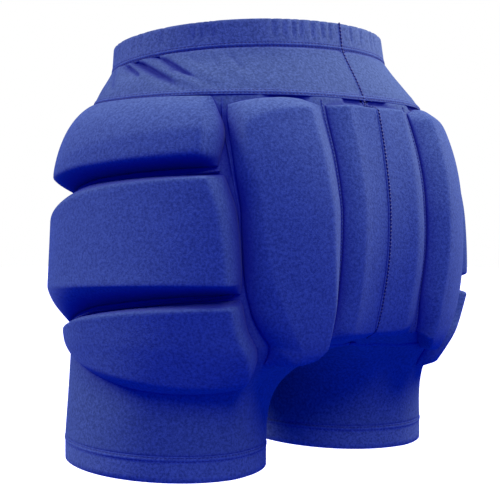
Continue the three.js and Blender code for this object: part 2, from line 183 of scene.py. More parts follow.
# Each cloth: its colours deep down and worn, its roughness, its sheen and the height of its bumps
SHELL_CLOTH = knit_cloth("warp_knit_polyester", "#24354f", "#4b5d72", 0.85, 0.1, 0.25 * MM)
BAND_CLOTH = knit_cloth("knitted_elastic_band", "#2c3c54", "#58697b", 0.88, 0.1, 0.25 * MM)
PAD_CLOTH = knit_cloth("knit_over_foam_pad", "#213356", "#485c76", 0.85, 0.1, 0.3 * MM)
SEAM_CLOTH = knit_cloth("covered_seam", "#233558", "#4a5e79", 0.8, 0.1, 0.15 * MM)
THREAD = spun_thread("spun_polyester_thread", "#060b42")

# Meshes

# How firmly subdivision keeps the rims of the cloth, and the walls thinner than this that count as rims
RIM_SHARPNESS = 0.95
RIM_THICKNESS = 3.6 * MM


def merged_copy(node):
    """A CAD node's mesh, merged and turned back into four-sided faces"""
    bm = bmesh.new()
    bm.from_mesh(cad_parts[node].data)
    bmesh.ops.remove_doubles(bm, verts=bm.verts, dist=WELD)
    bmesh.ops.join_triangles(bm, faces=bm.faces[:], angle_face_threshold=math.pi,
                             angle_shape_threshold=math.pi)
    return bm


def make_piece(name, bm, material, nodes=()):
    """An object from a bmesh, riding on the body, in the place of some CAD nodes"""
    mesh = bpy.data.meshes.new(name)
    bm.to_mesh(mesh)
    bm.free()
    mesh.shade_smooth()
    mesh.materials.append(material)
    piece = bpy.data.objects.new(name, mesh)
    bpy.context.collection.objects.link(piece)
    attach(piece, "root")
    if nodes:
        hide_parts(*nodes)
    return piece


def subdivide(piece, levels):
    """Smooths a piece and keeps the finer mesh"""
    modifier = piece.modifiers.new("smooth cloth", "SUBSURF")
    modifier.levels = levels
    modifier.render_levels = levels
    keep_result(piece)


def keep_result(piece):
    """Puts the mesh that a piece's modifiers give in the place of its own"""
    fine = bpy.data.meshes.new_from_object(piece.evaluated_get(bpy.context.evaluated_depsgraph_get()))
    rough = piece.data
    piece.modifiers.clear()
    piece.data = fine
    fine.name = piece.name
    bpy.data.meshes.remove(rough)
    fine.shade_smooth()


def crease_rims(bm):
    """Keeps the rims of a sheet from shrinking: both long edges of each wall across its thickness"""
    layer = bm.edges.layers.float.get("crease_edge") or bm.edges.layers.float.new("crease_edge")
    for face in bm.faces:
        if len(face.verts) == 4 and min(edge.calc_length() for edge in face.edges) < RIM_THICKNESS:
            for edge in face.edges:
                if edge.calc_length() > RIM_THICKNESS:
                    edge[layer] = RIM_SHARPNESS


def surface_of(*pieces):
    """One search tree over the faces of some pieces"""
    points = []
    faces = []
    for piece in pieces:
        first = len(points)
        points += [vertex.co.copy() for vertex in piece.data.vertices]
        faces += [[first + k for k in polygon.vertices] for polygon in piece.data.polygons]
    return BVHTree.FromPolygons(points, faces)


# Lines on the shell

# From how far out the trunk and the legs are looked at, in metres
TRUNK_LOOK = 0.3
LEG_LOOK = 0.03
# How far from its place a look may land, and how far above or below it is taken again, in mm
LOOK_MISS = 30
LOOK_AGAIN = (0, -1.5, 1.5)
# How near to the centre line a turn counts as on it, in degrees, and how far aside it is looked at, in mm
ON_CENTRE = 0.2
CENTRE_ASIDE = 4
# How square the trunk's oval is below the fork: 2 is an ellipse
SQUARENESS = 2.5
# How fast the inside of a leg leaves the trunk, and how narrow that inside is
INSIDE_SPREAD = 3
INSIDE_WIDTH = 8


def mix(a, b, share):
    return a + (b - a) * share


def clipped(share):
    """A share kept between 0 and 1"""
    return min(1.0, max(0.0, share))


def eased(share):
    """A share that starts and stops gently"""
    return share * share * (3 - 2 * share)


def reaches(drop):
    """Half the width and the reach behind and in front of the trunk at a drop, in mm"""
    for upper, lower in zip(SHELL_REACHES, SHELL_REACHES[1:]):
        if drop <= lower[0]:
            share = max(0.0, (drop - upper[0]) / (lower[0] - upper[0]))
            return [mix(a, b, share) for a, b in zip(upper[1:], lower[1:])]
    return SHELL_REACHES[-1][1:]


def on_trunk(surface, side, turn, drop):
    """The point and the normal of the trunk at a turn and a drop, found from outside"""
    width, back, front = reaches(drop)
    angle = math.radians(turn)
    out = Vector((side * width * math.sin(angle), (back if turn < 90 else front) * math.cos(angle), 0))
    centre = turn < ON_CENTRE or turn > 180 - ON_CENTRE
    axis = Vector((side * CENTRE_ASIDE * MM if centre else 0, 0, -drop * MM + waist_tilt(out.y, drop)))
    start = axis + out.normalized() * TRUNK_LOOK
    place = axis + out * MM
    # A look that slips in through the slit of a seam is taken again just below or above it
    for step in LOOK_AGAIN:
        shift = Vector((0, 0, step * MM))
        point, normal, _, _ = surface.ray_cast(start + shift, -out.normalized())
        if point is not None and (point - place).length < LOOK_MISS * MM:
            point = point - shift
            break
    else:
        point, normal, _, _ = surface.find_nearest(place)
    if centre:
        point.x = 0
        normal.x = 0
    return point, normal.normalized()


def waist_tilt(y, drop):
    """How much higher the waist is behind than in front"""
    return WAIST_TILT * MM * (y / WAIST_REACH) * (1 - eased(clipped(drop / TILT_FADE)))


def leg_place(aside, back, drop):
    """A place on a leg's oval, for how far aside and back it lies as shares of the oval's reaches, in mm"""
    return Vector((LEG_CENTRE[0] + LEG_REACHES[0] * aside, LEG_CENTRE[1] + LEG_REACHES[1] * back,
                   -drop - HEM_TILT * back * (drop - FORK) / LEG_LENGTH))


def on_leg(surface, side, turn, drop):
    """The point and the normal of a leg near its hem"""
    angle = math.radians(90 - turn)
    ring = leg_place(math.cos(angle), math.sin(angle), drop)
    ring = Vector((side * ring.x, ring.y, ring.z)) * MM
    middle = Vector((side * LEG_CENTRE[0] * MM, LEG_CENTRE[1] * MM, ring.z))
    out = (ring - middle).normalized()
    point, normal, _, _ = surface.ray_cast(ring + out * LEG_LOOK, -out)
    return point, normal


def on_shell(surface, side, turn, drop):
    """The point and the normal of the outside of the shell, above the fork or below it"""
    if drop <= FORK:
        return on_trunk(surface, side, turn, drop)
    width, back, front = reaches(drop)
    sine = math.sin(math.radians(turn))
    cosine = math.cos(math.radians(turn))
    oval = (abs(sine) ** SQUARENESS + abs(cosine) ** SQUARENESS) ** (-1 / SQUARENESS)
    trunk = Vector((width * oval * sine, (back if cosine > 0 else front) * oval * cosine, -drop))
    down = min(1.0, (drop - FORK) / (LEG_LENGTH * LEG_BLEND))
    near = mix(eased(down), 1 - (1 - down) ** INSIDE_SPREAD, cosine ** INSIDE_WIDTH)
    place = trunk.lerp(leg_place(sine, cosine, drop), near)
    point, normal, _, _ = surface.find_nearest(Vector((side * place.x, place.y, place.z)) * MM)
    return point, normal


def even_path(places, spacing, closed=False):
    """Places spread evenly along a row of places, with the direction that each one faces along the row"""
    places = places + places[:1] if closed else places
    lengths = [0.0]
    for (a, _), (b, _) in zip(places, places[1:]):
        lengths.append(lengths[-1] + (b - a).length)
    count = max(2, round(lengths[-1] / spacing))
    spread = []
    at = 0
    for k in range(count if closed else count + 1):
        want = lengths[-1] * k / count
        while at < len(lengths) - 2 and lengths[at + 1] < want:
            at += 1
        share = (want - lengths[at]) / max(1e-9, lengths[at + 1] - lengths[at])
        (a, m), (b, n) = places[at], places[at + 1]
        spread.append((a.lerp(b, share), m.lerp(n, share).normalized(), (b - a).normalized()))
    return spread


def trunk_line(surface, side, points, step=1.0):
    """Places along a line on the trunk through the given turns and drops"""
    places = []
    for (turn_a, drop_a), (turn_b, drop_b) in zip(points, points[1:]):
        count = max(1, math.ceil(max(abs(turn_b - turn_a) / step, abs(drop_b - drop_a) / (2 * step))))
        shares = [k / count for k in range(count)]
        places += [on_trunk(surface, side, mix(turn_a, turn_b, share), mix(drop_a, drop_b, share))
                   for share in shares]
    return places + [on_trunk(surface, side, *points[-1])]


def waist_ring(surface, drop):
    """Places all round the trunk at one drop"""
    turns = range(0, 181, 2)
    left = [on_trunk(surface, 1, turn, drop) for turn in turns]
    right = [on_trunk(surface, -1, turn, drop) for turn in turns[-2:0:-1]]
    return left + right


# Folds

# How many times steeper than its whole length a fold runs in and out at its ends
FOLD_ENDS = 5
# How far a fold is felt, in halves of its width
FOLD_REACH = 3


def work_folds(piece, folds):
    """Presses creases and raises ridges. A fold is its line, its height and half its width in mm."""
    samples = []
    for line, height, half_width in folds:
        path = even_path(line, 1.0 * MM)
        for k, (point, normal, _) in enumerate(path):
            share = k / (len(path) - 1)
            ends = min(1.0, FOLD_ENDS * share, FOLD_ENDS * (1 - share))
            samples.append((point, normal, height * ends, half_width, line))
    tree = KDTree(len(samples))
    for k, sample in enumerate(samples):
        tree.insert(sample[0], k)
    tree.balance()
    widest = FOLD_REACH * MM * max(half_width for _, _, half_width in folds)
    for vertex in piece.data.vertices:
        nearest = {}
        for _, k, distance in tree.find_range(vertex.co, widest):
            key = id(samples[k][4])
            if key not in nearest or distance < nearest[key][0]:
                nearest[key] = (distance, k)
        for distance, k in nearest.values():
            _, normal, height, half_width, _ = samples[k]
            vertex.co += normal * height * MM * math.exp(-(distance / (half_width * MM)) ** 2)


# Puckers in the elastic, as turns, on the side that the photograph shows and carried on round the waist
LEFT_PUCKERS = (5.5, 9.5, 14, 19, 22.5, 26, 30.5, 53.5, 56, 58.5, 61.5, 76, 88, 93, 108, 113, 131, 136, 150,
                167)
RIGHT_PUCKERS = (6, 13, 21, 25, 33, 47, 51, 64, 69, 83, 97, 102, 118, 127, 141, 146, 158, 172)
# How many degrees they lean, one after another
PUCKER_LEANS = (0.5, -0.3, 0.2, 0.6, -0.2)
# The drops between which they run, and how far they run on above the waistband's edge, in mm
PUCKER_DROPS = (-10, 6)
PUCKER_OVER = 6
# Their height and half width in mm
PUCKER_SHAPE = (-1.2, 1.4)

# Drag creases in the yoke: turns and drops, depth and half width in mm. The first are on the side that the
# photograph shows.
LEFT_CREASES = (
    (((100, 12), (92, 19), (82, 27)), -3.8, 1.8),
    (((93, 12), (86, 17), (75, 27), (64, 39)), -5.0, 2.1),
    (((81, 11), (72, 18), (64, 27), (58, 33)), -3.2, 1.4),
    (((78, 12), (70, 22), (63, 33)), -2.0, 1.0),
    (((63, 14), (57, 23)), -1.1, 1.3),
    (((53.5, 16), (50.5, 26)), -0.9, 1.4),
    (((47.5, 15), (42, 29)), -1.1, 1.8),
    (((110, 13), (104, 24), (96, 36)), -2.0, 1.9),
    (((122, 14), (118, 28)), -1.4, 1.8),
    (((70, 15), (62, 28), (55, 37)), 0.8, 2.4),
)
RIGHT_CREASES = (
    (((98, 12), (88, 22), (78, 33)), -3.0, 1.9),
    (((86, 12), (76, 22), (68, 32)), -3.2, 1.9),
    (((74, 13), (66, 24), (60, 34)), -1.9, 1.4),
    (((56, 14), (50, 26)), -1.1, 1.6),
    (((110, 13), (102, 26)), -2.0, 1.8),
)

# Where the body's cloth is drawn in, told in the same way: in the trench between the upper hip pad and the
# seat pad, and under the yoke seam above the seat pad and at the centre back
DENTS = (
    (((49.6, 52), (49.2, 60), (48.9, 75), (48.4, 100), (47.6, 118)), -5.0, 2.4),
    (((38, 47), (30, 47.5), (22, 47)), -3.0, 2.4),
    (((11, 47), (6, 47.3), (0.3, 47.3)), -2.4, 2.0),
)

# The pieces of cloth: the CAD nodes that they take the place of, their names, slots and cloths, and how often
# they are subdivided
CLOTH_PIECES = (
    ("waistband", "waist_elastic", "band_cloth", BAND_CLOTH, 3),
    ("yoke", "yoke_cloth", "shell_cloth", SHELL_CLOTH, 2),
    ("body", "body_cloth", "shell_cloth", SHELL_CLOTH, 3),
    ("hem", "hem_fold", "band_cloth", BAND_CLOTH, 2),
)


def ends_of(node):
    """What follows the name of a piece: nothing for the waistband, left and right for the others"""
    return ("",) if node in ("waistband", "waist_elastic") else ("_left", "_right")


def fold_cloth(cad, name, side, folds):
    """Works folds into a piece of cloth, each told by its turns and drops, its height and half its width"""
    work_folds(bpy.data.objects[name], [(trunk_line(cad, side, points), height, half_width)
                                        for points, height, half_width in folds])


def dress_shell(cad):
    """The stretch cloth: the waistband, the yoke, the body and the hems"""
    for node, name, slot, cloth, levels in CLOTH_PIECES:
        for end in ends_of(node):
            bm = merged_copy(node + end)
            crease_rims(bm)
            subdivide(make_piece(name + end, bm, cloth, [node + end]), levels)
    puckers = []
    first, last = PUCKER_DROPS
    for side, turns in ((1, LEFT_PUCKERS), (-1, RIGHT_PUCKERS)):
        for k, turn in enumerate(turns):
            lean = PUCKER_LEANS[k % len(PUCKER_LEANS)]
            line = trunk_line(cad, side, ((turn, first), (turn + lean, last)))
            above = line[0][0] + Vector((0, 0, PUCKER_OVER * MM))
            puckers.append(([(above, line[0][1])] + line, *PUCKER_SHAPE))
    work_folds(bpy.data.objects["waist_elastic"], puckers)
    for end, side, creases in (("left", 1, LEFT_CREASES), ("right", -1, RIGHT_CREASES)):
        fold_cloth(cad, f"yoke_cloth_{end}", side, creases)
        fold_cloth(cad, f"body_cloth_{end}", side, DENTS)


# Seams

# Profiles across a seam: mm aside of its line and above the cloth. Two rows of needles with a ridge between
# them, a closed seam with a slit, a raised welt, a plain topstitched ridge and a fold of cloth.
TWIN_NEEDLE = ((-3.2, -0.4), (-2.5, 0.10), (-1.9, 0.12), (-1.4, -0.02), (-0.9, 0.45), (0, 0.6), (0.9, 0.45),
               (1.4, -0.02), (1.9, 0.12), (2.5, 0.10), (3.2, -0.4))
CLOSED_SEAM = ((-2.4, -0.4), (-1.6, 0.15), (-0.6, 0.3), (-0.2, -0.5), (0.2, -0.5), (0.6, 0.3), (1.6, 0.15),
               (2.4, -0.4))
WELT = ((-1.7, -0.4), (-1.2, 0.6), (-0.7, 1.5), (0, 1.8), (0.7, 1.5), (1.2, 0.6), (1.7, -0.4))
TOPSTITCH = ((-1.1, -0.3), (-0.5, 0.35), (0, 0.45), (0.5, 0.35), (1.1, -0.3))
FOLD = ((-2.6, -0.6), (-1.6, 0.3), (-0.6, 1.1), (0, 1.3), (0.6, 1.1), (1.6, 0.3), (2.6, -0.6))

# Where each row of needles lies in a twin needle seam: how far aside, and how high above the cloth, in mm
NEEDLE_ROWS = ((-1.4, 0.05), (1.4, 0.05))
# How high stitches lie above the cloth on a closed seam, a topstitched ridge and a welt, in mm
CLOSED_SEAM_TOP = 0.2
TOPSTITCH_TOP = 0.5
WELT_TOP = 1.85
# How deep a seam's turned edges reach in
SEAM_DEPTH = 3.2 * MM
# How far apart a seam's mesh lines are, and its stitches: on seams all round, and on seams along a line
RING_STEP = 3 * MM
RING_PITCH = 3.3 * MM
LINE_STEP = 2.5 * MM
LINE_PITCH = 3.0 * MM

# The drops of the seams all round, and where the centre seams start and stop
WAIST_SEAM = 9.4
YOKE_SEAM = 43.4
HEM_SEAM = 322.5
CENTRE_SEAM = (-10.5, 234)
# How high the tailbone pads lift the back seam, at which drops that starts and stops, and over how many mm
# it rises and falls
TAIL_SEAM_LIFT = 12.0
TAIL_SEAM_DROPS = (48.2, 241)
TAIL_SEAM_RAMPS = (5, 15)

# Where the body's cloth folds under the seat, as turns and drops
LEFT_SEAT_FOLD = ((19, 240), (14, 242), (7, 243), (0.5, 243.5))
RIGHT_SEAT_FOLD = ((0.5, 243.5), (7, 246), (14, 246.5), (22, 249), (31, 248), (39, 240))


def sew_seam(name, path, profile, closed=False):
    """A sewn edge along a path. It reaches through the cloth, as a seam's turned edges do inside."""
    bm = bmesh.new()
    rows = len(path) + closed
    bmesh.ops.create_grid(bm, x_segments=rows - 1, y_segments=len(profile) - 1, size=0.5)
    for vertex in bm.verts:
        k = round((vertex.co.x + 0.5) * (rows - 1))
        across = round((vertex.co.y + 0.5) * (len(profile) - 1))
        point, normal, along = path[k % len(path)]
        aside, height = profile[across]
        vertex.co = point + along.cross(normal) * aside * MM + normal * height * MM
    if closed:
        bmesh.ops.remove_doubles(bm, verts=bm.verts, dist=WELD)
    bmesh.ops.recalc_face_normals(bm, faces=bm.faces)
    up = path[0][1]
    bm.faces.ensure_lookup_table()
    middle = min(bm.faces, key=lambda face: (face.calc_center_median() - path[0][0]).length)
    if middle.normal.dot(up) < 0:
        bmesh.ops.reverse_faces(bm, faces=bm.faces)
    seam = make_piece(name, bm, SEAM_CLOTH)
    wall = seam.modifiers.new("turned edges", "SOLIDIFY")
    wall.thickness = SEAM_DEPTH
    wall.offset = -1
    keep_result(seam)
    return seam


def lay_stitches(name, rows, length=2.4, thread=0.5):
    """Rows of thread stitches. Each row is a path, with how far they lie aside of it and above it in mm."""
    one = bmesh.new()
    bmesh.ops.create_uvsphere(one, u_segments=6, v_segments=4, radius=1)
    bmesh.ops.rotate(one, verts=one.verts, matrix=Matrix.Rotation(math.pi / 2, 3, "Y"))
    bmesh.ops.scale(one, verts=one.verts, vec=(length / 2 * MM, thread / 2 * MM, thread / 2 * MM))
    stitch = bpy.data.meshes.new("stitch")
    one.to_mesh(stitch)
    one.free()
    bm = bmesh.new()
    for path, aside, height in rows:
        for point, normal, along in path:
            across = along.cross(normal)
            place = point + across * aside * MM + normal * height * MM
            turned = Matrix((along, across, along.cross(across))).transposed().to_4x4()
            turned = Matrix.Translation(place) @ turned
            stitch.transform(turned)
            bm.from_mesh(stitch)
            stitch.transform(turned.inverted())
    bpy.data.meshes.remove(stitch)
    return make_piece(name, bm, THREAD)


def needle_rows(path):
    """Both rows of stitches of a twin needle seam"""
    return [(path, aside, height) for aside, height in NEEDLE_ROWS]


def on_pads(point):
    """How much of its lift the back seam has at a place: it runs up onto the tailbone pads and down"""
    drop = -point.z / MM
    first, last = TAIL_SEAM_DROPS
    rise, fall = TAIL_SEAM_RAMPS
    return clipped((drop - first) / rise) * clipped((last - drop) / fall)


def sew_shell(shell):
    """The seams of the shell, with their stitches"""
    rows = []
    for name, drop in (("waistband_seam", WAIST_SEAM), ("yoke_seam", YOKE_SEAM)):
        ring = waist_ring(shell, drop)
        sew_seam(name, even_path(ring, RING_STEP, closed=True), TWIN_NEEDLE, closed=True)
        rows += needle_rows(even_path(ring, RING_PITCH, closed=True))
    lay_stitches("waist_and_yoke_stitches", rows, thread=0.9)
    rows = []
    for end, side in SIDES.items():
        ring = [on_leg(shell, side, turn, HEM_SEAM) for turn in range(0, 360, 4)]
        sew_seam(f"hem_seam_{end}", even_path(ring, RING_STEP, closed=True), TWIN_NEEDLE, closed=True)
        rows += needle_rows(even_path(ring, RING_PITCH, closed=True))
    lay_stitches("hem_stitches", rows)
    rows = []
    first, last = CENTRE_SEAM
    for name, turn, lift in (("back_seam", 0, TAIL_SEAM_LIFT), ("front_seam", 180, 0.0)):
        line = trunk_line(shell, 1, ((turn, first), (turn, last)), 1.5)
        line = [(point + normal * lift * MM * on_pads(point), normal) for point, normal in line]
        sew_seam(name, even_path(line, LINE_STEP), CLOSED_SEAM)
        rows.append((even_path(line, LINE_PITCH), 0.0, CLOSED_SEAM_TOP))
    lay_stitches("centre_seam_stitches", rows, length=2.6, thread=2.2)
    for end, side, points in (("left", 1, LEFT_SEAT_FOLD), ("right", -1, RIGHT_SEAT_FOLD)):
        sew_seam(f"seat_fold_{end}", even_path(trunk_line(shell, side, points), LINE_STEP), FOLD)

# Pads

# Lines across the pads, from the top down: the turns of the back and the front edge, and the drops at the
# back edge, in the middle and at the front edge
HIP_LINES = (
    (50, 131, 45, 45, 47),
    (48, 144, 104.4, 111.1, 131),
    (42.6, 137, 198.8, 211.2, 238.9),
    (39, 127, 233.1, 241.7, 241.7),
    (23, 112, 272.3, 272.3, 244.6),
)
SEAT_LINES = (
    (19.5, 48.2, 47.2, 46.2, 48.0),
    (18.5, 45.2, 150.1, 150.1, 150.1),
    (18.1, 41.0, 208, 210, 212),
    (20.5, 29.5, 244, 253, 254),
)
TAIL_LINES = (
    (0.16, 18.2, 48.8, 48.8, 49.2),
    (0.16, 17.5, 140.5, 140.5, 140.5),
    (0.16, 17.0, 239.8, 239.8, 237.9),
)
# The lower pad stops short of the middle one in front
LOWER_LINES = (
    (42.6, 122, 198.8, 211.2, 233),
    (39, 121, 233.1, 241.7, 240.5),
    (23, 112, 272.3, 272.3, 246),
)
# How far apart the pads of a hip lie, in mm
GROOVE = 3.0

# Each pad: its lines, the first and last of them, how high it stands at its top and its bottom, how thick
# its rim is, and how rounded its corners are. Then how many mm each bevel takes: the back one and the front
# one at the pad's top and bottom, the top one and the bottom one at its back and front. The last is how high
# it stands where it meets its twin at the centre back, as a share of its height.
PAD_SHAPES = {
    "hip_pad_upper": (HIP_LINES, 0, 1, (20, 20), 2.5, 0.22, (12, 9), (36, 36), (40, 64), (6, 9), 0.0),
    "hip_pad_middle": (HIP_LINES, 1, 2, (21.5, 22.5), 2.0, 0.12, (10, 9), (46, 46), (5, 32), (11, 40), 0.0),
    "hip_pad_lower": (LOWER_LINES, 0, 2, (24, 8), 1.2, 0.16, (8, 8), (84, 84), (5, 10), (8, 14), 0.0),
    "seat_pad": (SEAT_LINES, 0, 3, (13.5, 16), 1.5, 0.16, (18, 9), (12, 42), (9, 34), (15, 34), 0.0),
    "tailbone_pad": (TAIL_LINES, 0, 2, (10, 10), 1.0, 0.06, (26, 26), (17, 16), (6, 6), (14, 16), 1.2),
}
# How far apart the mesh lines of a pad are on its crown and on its bevels, in mm, and how few and how many
# of them a bevel may have
PAD_MESH = 2.6
BEVEL_MESH = 1.8
FEWEST_LINES = 4
MOST_BEVEL_LINES = 16
# How rounded the bevels are, from 0 for flat to 1. The top and the bottom one have one value at the pad's
# back and one at its front.
BACK_ROUNDING = 0.08
FRONT_ROUNDING = 0.6
TOP_ROUNDING = (0.3, 0.8)
BOTTOM_ROUNDING = (0.05, 0.8)
# How deep a pad reaches into the cloth that it is sewn to, and how far its cover keeps off its twin, in mm
PAD_DEPTH = 1.0
TWIN_GAP = 0.1
# Into how many stretches a pad is cut to measure how wide it is
WIDTH_STEPS = 12
# How often the directions in which a pad rises are evened out
EVEN_ROUNDS = 4
# How hard the foam presses on its cover, for how many frames, and by how many mm the cover may swell
SWELL_PRESSURE = 4
SWELL_FRAMES = 20
SWELL_MOST = 1.2


def read_lines(lines, place):
    """The numbers of a table of lines between two of them, on a smooth curve through them all"""
    last = len(lines) - 1
    row = min(last - 1, max(0, math.floor(place)))
    share = place - row
    a, b, c, d = (lines[min(last, max(0, row + k))] for k in (-1, 0, 1, 2))
    s2 = share * share
    s3 = s2 * share
    return [(2 * s3 - 3 * s2 + 1) * y + (s3 - 2 * s2 + share) * (z - x) / 2
            + (3 * s2 - 2 * s3) * z + (s3 - s2) * (w - y) / 2 for x, y, z, w in zip(a, b, c, d)]


def pad_place(shape, across, down):
    """The turn and drop of a place on a pad, at shares across and down its outline"""
    lines, first, last, _, _, corner = shape[:6]
    u = 2 * across - 1
    v = 2 * down - 1
    p = (u * math.sqrt(1 - corner * v * v / 2) + 1) / 2
    q = (v * math.sqrt(1 - corner * u * u / 2) + 1) / 2
    back, front, low, middle, high = read_lines(lines, mix(first, last, q))
    drop = low * (1 - p) * (1 - 2 * p) + middle * 4 * p * (1 - p) + high * p * (2 * p - 1)
    return mix(back, front, p), drop + GROOVE * (0.5 - q)


def mesh_shares(start_bevel, end_bevel, steps):
    """Shares of a length where mesh lines run: some on each bevel and the rest evenly between"""
    start_steps, between, end_steps = steps
    shares = [start_bevel * k / start_steps for k in range(start_steps)]
    shares += [mix(start_bevel, 1 - end_bevel, k / between) for k in range(between)]
    return shares + [1 - end_bevel * (1 - k / end_steps) for k in range(end_steps + 1)]


def mesh_counts(size, start_bevel, end_bevel):
    """How many mesh lines a pad has along its length or its width: on each bevel and between them"""
    start, end = (max(FEWEST_LINES, min(round(sum(bevel) / 2 / BEVEL_MESH), MOST_BEVEL_LINES))
                  for bevel in (start_bevel, end_bevel))
    crown = size - (sum(start_bevel) + sum(end_bevel)) / 2
    return [start, max(FEWEST_LINES, round(crown / PAD_MESH)), end]


def bevel_rise(distance, reach, rounding, start=0.0):
    """How much of its height a pad has at a distance from its edge, where its bevel reaches so far in"""
    share = clipped(distance / reach)
    return mix(start, 1.0, mix(share, math.sin(math.pi / 2 * share), rounding))


def evened(normals, columns, rows):
    """The directions over a grid, each evened out with its neighbours"""
    beside = ((0, 0), (1, 0), (-1, 0), (0, 1), (0, -1))
    for _ in range(EVEN_ROUNDS):
        normals = {(c, r): sum((normals[min(columns, max(0, c + i)), min(rows, max(0, r + j))]
                                for i, j in beside), Vector()).normalized()
                   for c, r in normals}
    return normals


def cut_pad(name, end, side, shell):
    """The cover of one foam pad: a flat crown with bevels cut down to a thin sewn rim"""
    shape = PAD_SHAPES[name]
    heights, rim, _, back, front, top, bottom, join = shape[3:]
    middle = [on_shell(shell, side, *pad_place(shape, k / WIDTH_STEPS, 0.5))[0]
              for k in range(WIDTH_STEPS + 1)]
    width = sum((b - a).length for a, b in zip(middle, middle[1:])) / MM
    length = pad_place(shape, 0.5, 1)[1] - pad_place(shape, 0.5, 0)[1]
    columns = mesh_counts(width, back, front)
    rows = mesh_counts(length, top, bottom)
    across_count = sum(columns)
    down_count = sum(rows)
    points = {}
    normals = {}
    lifts = {}
    for column in range(across_count + 1):
        bend = (column / across_count) ** 2
        down_shares = mesh_shares(mix(*top, bend) / length, mix(*bottom, bend) / length, rows)
        for row, down in enumerate(down_shares):
            back_reach = mix(*back, down)
            front_reach = mix(*front, down * down)
            across = mesh_shares(back_reach / width, front_reach / width, columns)[column]
            place = (column, row)
            points[place], normals[place] = on_shell(shell, side, *pad_place(shape, across, down))
            rise = bevel_rise(across * width, back_reach, BACK_ROUNDING, join) \
                * bevel_rise((1 - across) * width, front_reach, FRONT_ROUNDING * across) \
                * bevel_rise(down * length, mix(*top, bend), mix(*TOP_ROUNDING, bend)) \
                * bevel_rise((1 - down) * length, mix(*bottom, bend), mix(*BOTTOM_ROUNDING, bend))
            lifts[place] = mix(rim, mix(*heights, down), rise) * MM
    normals = evened(normals, across_count, down_count)
    bm = bmesh.new()
    sewn = bm.verts.layers.deform.verify()
    for outside in (True, False):
        sheet = bmesh.ops.create_grid(bm, x_segments=across_count, y_segments=down_count, size=0.5)
        for vertex in sheet["verts"]:
            column = round((vertex.co.x + 0.5) * across_count)
            row = round((vertex.co.y + 0.5) * down_count)
            place = (column, row)
            inner = 0 < column < across_count and 0 < row < down_count
            vertex.co = points[place] + normals[place] * (lifts[place] if outside else -PAD_DEPTH * MM)
            vertex.co.x = side * max(side * vertex.co.x, TWIN_GAP * MM)
            vertex[sewn][0] = 0.0 if outside and inner else 1.0
    bmesh.ops.bridge_loops(bm, edges=[edge for edge in bm.edges if edge.is_boundary])
    bmesh.ops.recalc_face_normals(bm, faces=bm.faces)
    pad = make_piece(f"padded_{name}_{end}", bm, PAD_CLOTH, [f"{name}_{end}"])
    pad.vertex_groups.new(name="sewn down")
    return pad


def swell(pads):
    """Lets the covers of the pads swell as cloth under the pressure of the foam, by a little"""
    scene = bpy.context.scene
    for pad in pads:
        cloth = pad.modifiers.new("cover", "CLOTH")
        cloth.settings.quality = 5
        cloth.settings.mass = 0.3
        cloth.settings.tension_stiffness = 40
        cloth.settings.compression_stiffness = 40
        cloth.settings.bending_stiffness = 5
        cloth.settings.vertex_group_mass = "sewn down"
        cloth.settings.use_pressure = True
        cloth.settings.uniform_pressure_force = SWELL_PRESSURE
        cloth.settings.effector_weights.gravity = 0
        cloth.point_cache.frame_start = 1
        cloth.point_cache.frame_end = SWELL_FRAMES
    for number in range(1, SWELL_FRAMES + 1):
        scene.frame_set(number)
    depsgraph = bpy.context.evaluated_depsgraph_get()
    for pad in pads:
        swollen = [vertex.co.copy() for vertex in pad.evaluated_get(depsgraph).data.vertices]
        pad.modifiers.clear()
        for vertex, after in zip(pad.data.vertices, swollen):
            move = after - vertex.co
            vertex.co += move * min(1.0, SWELL_MOST * MM / max(move.length, 1e-9))
    scene.frame_set(1)


def dress_pads(shell):
    """The foam pads under their covers"""
    pads = [cut_pad(name, end, side, shell) for end, side in SIDES.items() for name in PAD_SHAPES]
    swell(pads)
    for pad in pads:
        pad.vertex_groups.clear()
        subdivide(pad, 1)


# Lines of the seams between the pads of a hip, behind the hip pads and behind the seat pads, as turns and
# drops
GROOVES = (
    ("upper_groove", ((50.5, 104), (60, 107), (75, 109.5), (90, 112), (105, 116.5), (120, 121.5),
                      (132, 126), (141, 130))),
    ("lower_groove", ((46, 198), (60, 203), (75, 208), (90, 213), (105, 220), (118, 227), (127, 232))),
)
SIDE_SEAM = ((49.2, 48), (48.7, 70), (47.3, 105), (45.6, 150), (42.0, 200))
SEAT_SEAM = ((19.0, 48), (18.4, 90), (18.0, 140), (17.6, 190), (18.5, 236))


def sew_grooves(shell):
    """The seams between the pads, with their stitches"""
    rows = []
    for end, side in SIDES.items():
        for name, points in GROOVES:
            line = trunk_line(shell, side, points)
            sew_seam(f"{name}_{end}", even_path(line, LINE_STEP), WELT)
            rows.append((even_path(line, LINE_PITCH), 0.0, WELT_TOP))
        line = trunk_line(shell, side, SIDE_SEAM)
        sew_seam(f"side_seam_{end}", even_path(line, LINE_STEP), TOPSTITCH)
        line = trunk_line(shell, side, SEAT_SEAM)
        sew_seam(f"seat_seam_{end}", even_path(line, LINE_STEP), TOPSTITCH)
        rows.append((even_path(line, LINE_PITCH), 0.0, TOPSTITCH_TOP))
    lay_stitches("pad_seam_stitches", rows, length=2.0)


cad_shell = surface_of(*(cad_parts[name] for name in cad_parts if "pad" not in name))
dress_shell(cad_shell)
dressed_shell = surface_of(*(bpy.data.objects[name + end]
                             for _, name, _, _, _ in CLOTH_PIECES for end in ends_of(name)))
sew_shell(dressed_shell)
dress_pads(dressed_shell)
sew_grooves(dressed_shell)

# Studio

